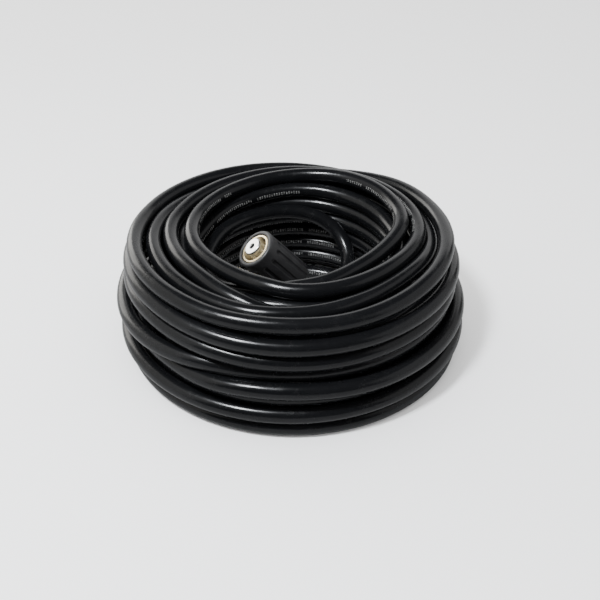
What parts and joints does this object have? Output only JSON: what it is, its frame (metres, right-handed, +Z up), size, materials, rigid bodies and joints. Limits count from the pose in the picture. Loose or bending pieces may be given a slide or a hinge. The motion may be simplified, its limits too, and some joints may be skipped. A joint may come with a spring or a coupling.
{
  "type": "pressure washer hose",
  "caption": "Long black pressure hose wound into a standing open coil, with grip-sleeved screw couplings at its ends, for joining a washer to its spray gun.",
  "frame": {"origin": "on the ground at the centre of the coil", "axes": "+Z up along the coil's axis, -Y towards the front of the coil"},
  "size_m": [0.2668, 0.2668, 0.0915],
  "materials": {
    "hose": "smooth glossy black PVC cover",
    "grip": "satin black moulded plastic",
    "nut_brass": "machined brass",
    "tail_steel": "bright plated steel",
    "seal": "black rubber"
  },
  "bodies": {
    "hose": {"hose_coil": "hose", "hose_inner_end": "hose", "hose_outer_end": "hose", "nose_pin_a": "tail_steel", "crimp_ferrule_a": "tail_steel", "o_ring_a": "seal", "nose_pin_b": "tail_steel", "crimp_ferrule_b": "tail_steel", "o_ring_b": "seal"},
    "coupling_nut_a": {"swivel_nut_a": "nut_brass", "grip_sleeve_a": "grip"},
    "coupling_nut_b": {"swivel_nut_b": "nut_brass", "grip_sleeve_b": "grip"}
  },
  "joints": [
    {"name": "nut_a_swivel", "type": "hinge", "parent": "hose", "child": "coupling_nut_a", "pos_m": [-0.0283, -0.0153, 0.082], "axis": [-0.6022, -0.2287, 0.7649], "continuous": true},
    {"name": "nut_b_swivel", "type": "hinge", "parent": "hose", "child": "coupling_nut_b", "pos_m": [0.023, -0.05358, 0.0165], "axis": [1, 0, 0], "continuous": true}
  ]
}
